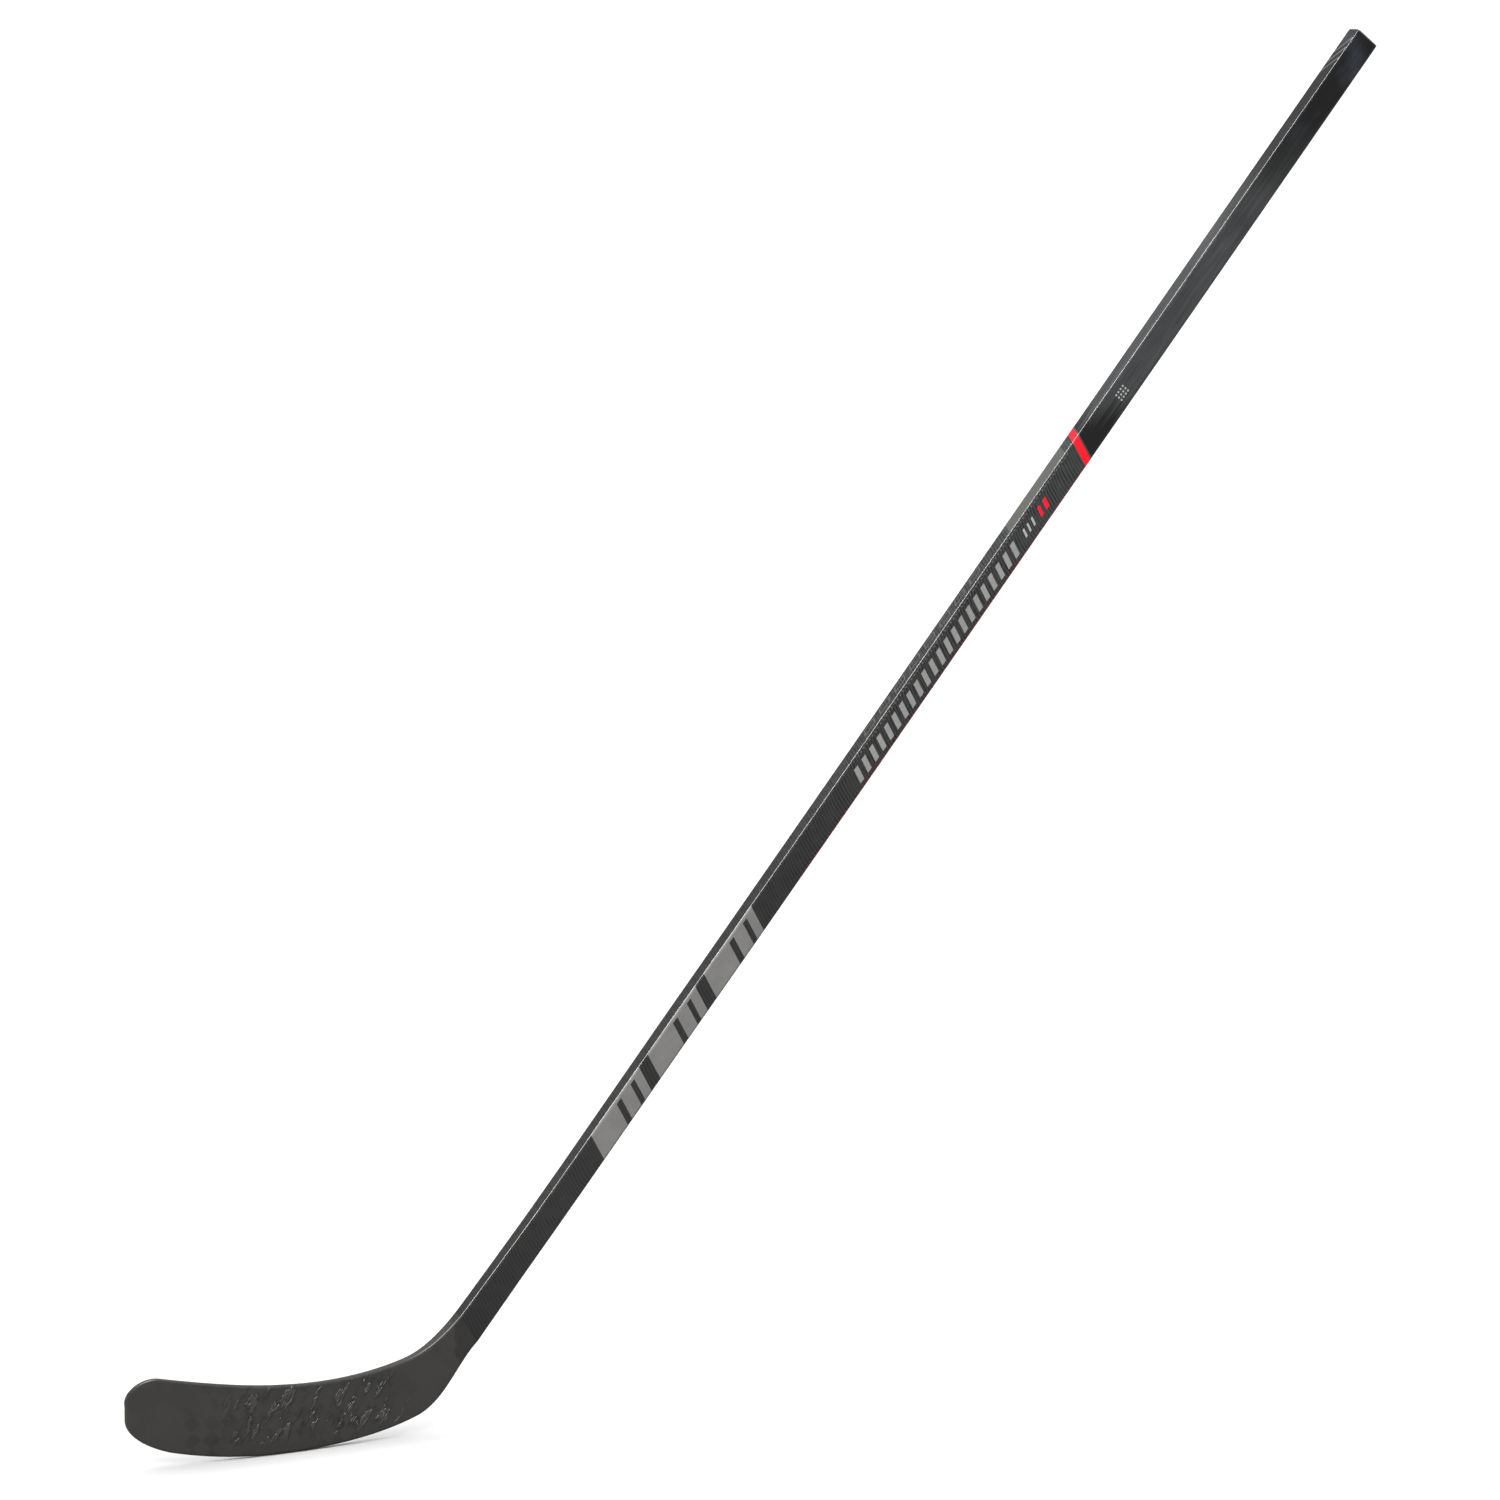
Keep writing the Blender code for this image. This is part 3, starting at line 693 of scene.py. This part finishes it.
def edge_points(reach):
    """Lower and upper outline points, trimmed, each with its direction into the blade."""
    i, t = span_at(reach)
    low_dir, high_dir = curve_heading(LOWER_EDGE[i], t), curve_heading(UPPER_EDGE[i], t)
    low_in, high_in = Vector((low_dir.y, -low_dir.x)), Vector((-high_dir.y, high_dir.x))
    low, high = curve_point(LOWER_EDGE[i], t), curve_point(UPPER_EDGE[i], t)
    return low + low_in * TRIM, low_in, high + high_in * TRIM, high_in


def along_blade(values, reach):
    """A measure between the ends of the outline's curves, easing out of the neck."""
    i, t = span_at(reach)
    if i == 0:
        t = t * t * (3.0 - 2.0 * t) * 0.5 + t * 0.5
    return mix(values[i], values[i + 1], t)


def face_curve(x, z):
    bend = max(0.0, (CURVE_START - x) / CURVE_RUN)
    lean = max(0.0, (LEAN_START - x) / LEAN_RUN)
    leaned = math.tan(LEAN_TOE * lean ** 1.5) * (z - LEAN_AXIS + LEAN_AXIS_SLOPE * x)
    return SHAFT_FOOT.y + CURVE_DEPTH * bend * bend - leaned


def blade_point(flat, depth):
    return Vector((flat.x, face_curve(flat.x, flat.y) + depth, flat.y))


def half_thickness(reach, from_edge):
    """Half the blade's thickness, rounded off near its edge."""
    thick = along_blade(BLADE_THICK, reach) - 2.0 * THIN
    radius = along_blade(EDGE_RADIUS, reach)
    if from_edge >= radius:
        return 0.5 * thick
    return 0.5 * thick - radius + math.sqrt(max(radius ** 2 - (radius - from_edge) ** 2, 0.0))


def reaches():
    found = []
    for index, steps in enumerate(SPAN_STEPS):
        found += [index + i / steps for i in range(steps)]
    return found + [float(len(SPAN_STEPS))]


def skin_ring(reach, side):
    margin = WRAP_WIDTH + JOIN
    low, low_in, high, high_in = edge_points(reach)
    bottom, top = low + low_in * margin, high + high_in * margin
    skin = along_blade(SKIN_THICK, reach)
    half = half_thickness(reach, margin)
    shares = [0.5 - 0.5 * math.cos(math.pi * i / SKIN_STEPS) for i in range(SKIN_STEPS + 1)]
    points = [bottom.lerp(top, s) for s in shares]
    outer = [blade_point(p, side * half) for p in points]
    inner = [blade_point(p, side * (half - skin)) for p in points]
    return outer + inner[::-1]


def wrap_ring(reach, corner, inward):
    ring = []
    shares = [1.0 - math.cos(0.5 * math.pi * i / WRAP_STEPS) for i in range(WRAP_STEPS + 1)]
    for side in (-1.0, 1.0):
        for share in (shares[::-1] if side < 0.0 else shares):
            a = share * WRAP_WIDTH
            ring.append(blade_point(corner + inward * a, side * half_thickness(reach, a)))
    return ring


def build_blade():
    stations = reaches()
    for name, side in (("backhand", -1.0), ("forehand", 1.0)):
        rings = [skin_ring(r, side) for r in stations]
        rings[0] = on_seam(rings[0], -SEAM_GAP)
        skin = loft("blade_" + name, rings)
        sharpen(skin, 50.0)
        skin.data.materials.append(blade_material("blade_carbon_" + name))
        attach(skin, "root")
        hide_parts("blade_" + name + "_skin")
    lower, upper = [], []
    for r in stations:
        low, low_in, high, high_in = edge_points(r)
        lower.append(wrap_ring(r, low, low_in))
        upper.append(wrap_ring(r, high, high_in))
    lower[0], upper[0] = on_seam(lower[0], -SEAM_GAP), on_seam(upper[0], -SEAM_GAP)
    wrap = loft("blade_edge", lower + upper[::-1])
    sharpen(wrap, 50.0)
    # Painted highlight: the edge wrap is coloured 5% lighter than the skins, for the light rim along
    # the blade's edges.
    wrap.data.materials.append(blade_material("blade_edge_carbon_painted_highlight", 1.05))
    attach(wrap, "root")
    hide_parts("blade_edge_wrap")


# ---------------------------------------------------------------- printed films

# How far the ink stands off the shaft, its thickness, and how finely a face print is divided.
LIFT = 0.00001
INK = 0.00004
FACE_STEPS = 4

# Where the marks lie: stations and lengths along the shaft in metres, girths and reaches in mm.
# Box lines are BOX_LINE long along the shaft and BOX_LINE_GIRTH wide round it.
RED_BAND = (1.1020, 1.1101)
GREY_BAND = (1.1105, 1.1120)
BLOCK_STARTS = (("lower", 0.314), ("middle", 0.404), ("upper", 0.494))
BLOCK_STRIPES = ((0.0, 0.038), (0.045, 0.060), (0.066, 0.076))
BLOCK_LENGTH = 0.076
BLOCK_GIRTHS = (-12.6, 9.4, 13.0)
BAR_START = 0.731
BAR_PITCH = 0.0122
BAR_WIDTH = 0.0058
BAR_COUNT = 22
BAR_GIRTHS = (-7.6, 5.6)
LIGHT_TICKS = ((1.0070, 1.0095), (1.0135, 1.0160), (1.0205, 1.0230))
LIGHT_TICK_REACH = 3.8
RED_TICKS = ((1.0315, 1.0355), (1.0400, 1.0450))
RED_TICK_REACH = 4.4
SIDE_PANEL = (1.0025, 1.094)
PANEL_GIRTHS = (HALF_FLAT + 2.6, HALF_FLAT + 2.0 * ARC + NARROW - 1.6)
PINSTRIPE = (0.622, 1.092)
PINSTRIPE_GIRTHS = (-HALF_FLAT - 3.0, -HALF_FLAT - 1.3)
BOX_ROW = (0.7675, 0.965)
BOX_COUNT = 8
BOX_LENGTH = 0.0166
BOX_LINE = 0.0016
BOX_REACH = 4.2
BOX_LINE_GIRTH = 1.2
BOX_SLOPE = 0.5


def finish_film(name, bm, material, node):
    film = make_object(name, bm)
    sharpen(film, 50.0)
    film.data.materials.append(material)
    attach(film, "root")
    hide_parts(node)


def slanted_patch(bm, low_girth, high_girth, start, stop, fore=False):
    """Part of a wide face between two girths, with slanted ends."""
    girths = girth_stops(low_girth, high_girth)
    if fore:
        girths = [0.5 * ROUND - g for g in girths]
    add_patch(
        bm,
        girths,
        lambda w, y: start + PRINT_SLOPE * w,
        lambda w, y: stop + PRINT_SLOPE * w,
        FACE_STEPS,
        LIFT,
        INK,
    )


def leaning_patch(bm, girths, ends, slope, steps):
    """Part of a narrow face between two stations, its ends leaning through the thickness."""
    start, stop = ends
    add_patch(
        bm,
        girths,
        lambda w, y: start + slope * y,
        lambda w, y: stop + slope * y,
        steps,
        LIFT,
        INK,
    )


def build_band(name, ends, material):
    bm = bmesh.new()
    low, high = ends
    across, deep = BAND_SLOPE
    add_patch(
        bm,
        girth_stops(-0.5 * ROUND, 0.5 * ROUND),
        lambda w, y: low + across * w + deep * y,
        lambda w, y: high + across * w + deep * y,
        3,
        LIFT,
        INK,
    )
    bmesh.ops.remove_doubles(bm, verts=bm.verts, dist=0.2 * LIFT)
    finish_film(name, bm, material, name)


def build_blocks(material):
    foot, shoulder, ridge = BLOCK_GIRTHS
    for place, start in BLOCK_STARTS:
        for side, fore in (("backhand", False), ("forehand", True)):
            bm = bmesh.new()
            for near, far in BLOCK_STRIPES:
                slanted_patch(bm, foot, shoulder, start + near, start + far, fore)
            slanted_patch(bm, shoulder, ridge, start, start + BLOCK_LENGTH, fore)
            node = "silver_block_" + place + "_" + side
            finish_film("block_" + place + "_" + side, bm, material, node)


def build_bars(material):
    bm = bmesh.new()
    for i in range(BAR_COUNT):
        left = BAR_START + BAR_PITCH * i
        slanted_patch(bm, *BAR_GIRTHS, left, left + BAR_WIDTH)
    finish_film("slanted_bars", bm, material, "slant_bars")


def build_ticks(name, ticks, reach, material, node):
    bm = bmesh.new()
    for start, stop in ticks:
        slanted_patch(bm, -reach, reach, start, stop)
    finish_film(name, bm, material, node)


def build_side_panel(material):
    bm = bmesh.new()
    leaning_patch(bm, girth_stops(*PANEL_GIRTHS), SIDE_PANEL, BAND_SLOPE[1], 6)
    finish_film("light_side_panel", bm, material, "side_panel")


def build_pinstripe(material):
    bm = bmesh.new()
    leaning_patch(bm, girth_stops(*PINSTRIPE_GIRTHS), PINSTRIPE, 0.0, 60)
    finish_film("pinstripe", bm, material, "red_pinstripe")


def build_boxes(material):
    """A row of outlined boxes on the upper narrow face, each made of four lines."""
    bm = bmesh.new()
    centre = HALF_FLAT + ARC + 0.5 * NARROW
    pitch = (BOX_ROW[1] - BOX_ROW[0]) / BOX_COUNT
    inner = BOX_REACH - BOX_LINE_GIRTH
    last = BOX_LENGTH - BOX_LINE
    lines = (
        (-BOX_REACH, BOX_REACH, 0.0, BOX_LINE),
        (-BOX_REACH, BOX_REACH, last, BOX_LENGTH),
        (-BOX_REACH, -inner, BOX_LINE, last),
        (inner, BOX_REACH, BOX_LINE, last),
    )
    for i in range(BOX_COUNT):
        left = BOX_ROW[0] + pitch * i
        for low, high, start, stop in lines:
            girths = girth_stops(centre + low, centre + high)
            leaning_patch(bm, girths, (left + start, left + stop), BOX_SLOPE, 2)
    finish_film("outlined_marks", bm, material, "zigzag_line")


def build_films():
    build_band("red_band", RED_BAND, print_material("red_ink", (0.44, 0.0, 0.0045), 0.24, 0.03))
    build_band("grey_band", GREY_BAND, print_material("grey_ink", (0.024, 0.024, 0.0235), 0.24, 0.06))
    build_blocks(print_material("silver_ink", (0.080, 0.079, 0.076), 0.20, 0.05))
    build_bars(print_material("silver_speckle", (0.116, 0.116, 0.114), 0.24, 0.16))
    light = print_material("light_ink", (0.17, 0.17, 0.167), 0.26, 0.10)
    red = print_material("red_mark_ink", (0.36, 0.0, 0.008), 0.26, 0.05)
    build_ticks("light_ticks", LIGHT_TICKS, LIGHT_TICK_REACH, light, "light_mark")
    build_ticks("red_ticks", RED_TICKS, RED_TICK_REACH, red, "red_mark")
    build_side_panel(print_material("panel_ink", (0.034, 0.0335, 0.0300), 0.22, 0.08))
    build_pinstripe(print_material("pinstripe_ink", (0.24, 0.0, 0.008), 0.26, 0.05))
    build_boxes(print_material("outline_ink", (0.036, 0.0355, 0.0330), 0.24, 0.10))


# ---------------------------------------------------------------- pieces kept from the CAD frame


def dress_cad_nodes():
    foam = moulded_material("core_foam", (0.58, 0.54, 0.46), 0.80, 900.0, 0.2)
    resin = moulded_material("core_resin", (0.030, 0.030, 0.031), 0.50, 500.0)
    for name, mat in (
        ("foam_core_upper", foam),
        ("foam_core_lower", foam),
        ("blade_rib", resin),
        ("hosel_core", resin),
    ):
        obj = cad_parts[name]
        obj.data.materials.clear()
        obj.data.materials.append(mat)


# ---------------------------------------------------------------- stage, light and camera

FLOOR_RADIUS = 120.0
FLOOR_DROP = 0.0004

# Strip lights: name, place, long and short side, power. All aim at the middle of the stick.
LIGHT_AIM = (0.53, 0.0, 0.60)
STRIPS = (
    ("ridge", (-2.69, -2.22, 4.47), (3.9, 0.9), 1150.0),
    ("front", (1.10, -5.60, 1.50), (3.4, 0.25), 60.0),
)

# The camera: where it stands, its right, up and back directions, and its lens and sensor in mm.
CAMERA_PLACE = (-1.68695, -4.87260, 1.41344)
CAMERA_RIGHT = (0.90990372, -0.41268582, -0.04201940)
CAMERA_UP = (0.10103783, 0.12224092, 0.98734417)
CAMERA_BACK = (-0.40232645, -0.90263369, 0.15292435)
LENS = 141.78
SENSOR = 36.0
VIEW_REACH = 200.0


def build_stage():
    """The floor. Returns the collection that keeps the strip lights off it."""
    bm = bmesh.new()
    bmesh.ops.create_circle(bm, cap_ends=True, radius=FLOOR_RADIUS, segments=128)
    floor = make_object("floor", bm, smooth=False)
    floor.location.z = -FLOOR_DROP
    g = Graph("floor_paint")
    tone = g.noise(g.place, 3.0, 2.0)
    g.put(g.colour(tone, (0.86, 0.86, 0.86), (0.88, 0.88, 0.88)), g.shader.inputs["Base Color"])
    g.set(Roughness=0.9, Specular_IOR_Level=0.1)
    floor.data.materials.append(g.mat)
    unlit = bpy.data.collections.new("kept_out_of_the_strips")
    unlit.objects.link(floor)
    unlit.collection_objects[0].light_linking.link_state = "EXCLUDE"
    return unlit


def add_strip(name, place, size, power, unlit):
    """An area light that misses the floor, its long side parallel to the shaft."""
    light = bpy.data.lights.new(name, "AREA")
    light.shape = "RECTANGLE"
    light.size, light.size_y = size
    light.energy = power
    obj = bpy.data.objects.new(name, light)
    bpy.context.scene.collection.objects.link(obj)
    back = (Vector(place) - Vector(LIGHT_AIM)).normalized()
    side = (SHAFT_DIR - back * SHAFT_DIR.dot(back)).normalized()
    turn = Matrix((side, back.cross(side), back)).transposed()
    obj.matrix_world = Matrix.Translation(place) @ turn.to_4x4()
    obj.light_linking.receiver_collection = unlit


def build_world():
    """A pale studio sky, brightest overhead."""
    world = bpy.data.worlds.new("studio")
    world.use_nodes = True
    tree = world.node_tree
    place = tree.nodes.new("ShaderNodeTexCoord")
    split = tree.nodes.new("ShaderNodeSeparateXYZ")
    ramp = tree.nodes.new("ShaderNodeMapRange")
    ramp.interpolation_type = "SMOOTHSTEP"
    for key, value in (("From Min", 0.35), ("From Max", 0.85), ("To Min", 0.48), ("To Max", 2.0)):
        ramp.inputs[key].default_value = value
    tree.links.new(place.outputs["Generated"], split.inputs[0])
    tree.links.new(split.outputs["Z"], ramp.inputs["Value"])
    tree.links.new(ramp.outputs["Result"], tree.nodes["Background"].inputs["Strength"])
    tree.nodes["Background"].inputs["Color"].default_value = (1.0, 1.0, 1.0, 1.0)
    bpy.context.scene.world = world


def build_lights(unlit):
    for name, place, size, power in STRIPS:
        add_strip(name, place, size, power, unlit)


def build_camera():
    camera = bpy.data.cameras.new("camera")
    camera.sensor_width = SENSOR
    camera.lens = LENS
    camera.clip_end = VIEW_REACH
    obj = bpy.data.objects.new("camera", camera)
    bpy.context.scene.collection.objects.link(obj)
    turn = Matrix((CAMERA_RIGHT, CAMERA_UP, CAMERA_BACK)).transposed()
    obj.matrix_world = Matrix.Translation(CAMERA_PLACE) @ turn.to_4x4()
    bpy.context.scene.camera = obj


bpy.context.scene.view_settings.view_transform = "Standard"
build_shaft()
build_plug()
build_blade()
build_films()
dress_cad_nodes()
unlit_floor = build_stage()
build_world()
build_lights(unlit_floor)
build_camera()
